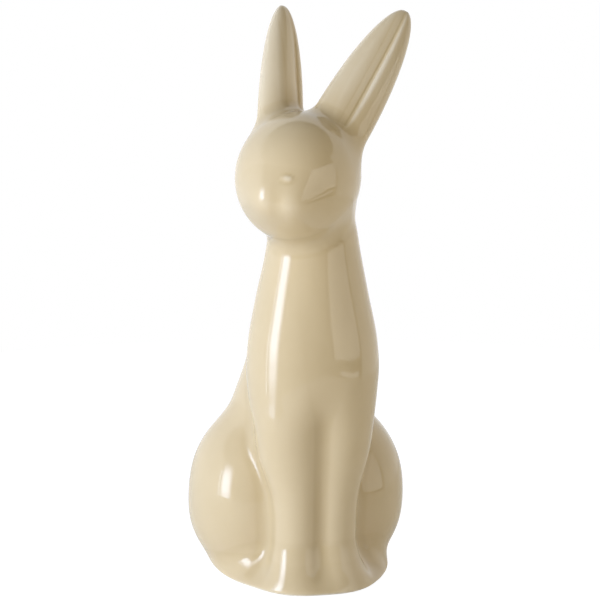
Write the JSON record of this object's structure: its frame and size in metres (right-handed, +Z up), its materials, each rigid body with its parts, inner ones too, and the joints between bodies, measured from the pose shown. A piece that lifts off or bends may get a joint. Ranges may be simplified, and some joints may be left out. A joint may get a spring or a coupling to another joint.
{
  "type": "rabbit figurine",
  "caption": "Seated rabbit ornament in glossy beige glazed ceramic, head turned aside and ears raised in a V, hollow cast and standing on a felt-padded foot rim.",
  "frame": {"origin": "on the surface that the figure stands on, under the middle of its bounding box", "axes": "+Z up, -Y the way the rabbit's body faces, +X the rabbit's own left"},
  "size_m": [0.0978, 0.1236, 0.2536],
  "materials": {
    "glaze": "high-gloss beige glaze over white earthenware",
    "slip": "unglazed fired slip",
    "soft_plug": "soft, satin",
    "wool_felt": "pressed wool felt"
  },
  "bodies": {
    "root": {"body_casting": "glaze", "head_casting": "glaze", "left_ear": "glaze", "right_ear": "glaze", "tail": "glaze", "neck_lute": "slip", "left_ear_lute": "slip", "right_ear_lute": "slip", "tail_lute": "slip", "drain_plug": "soft_plug", "felt_pad_front_left": "wool_felt", "felt_pad_front_right": "wool_felt", "felt_pad_rear_left": "wool_felt", "felt_pad_rear_right": "wool_felt"}
  },
  "joints": []
}
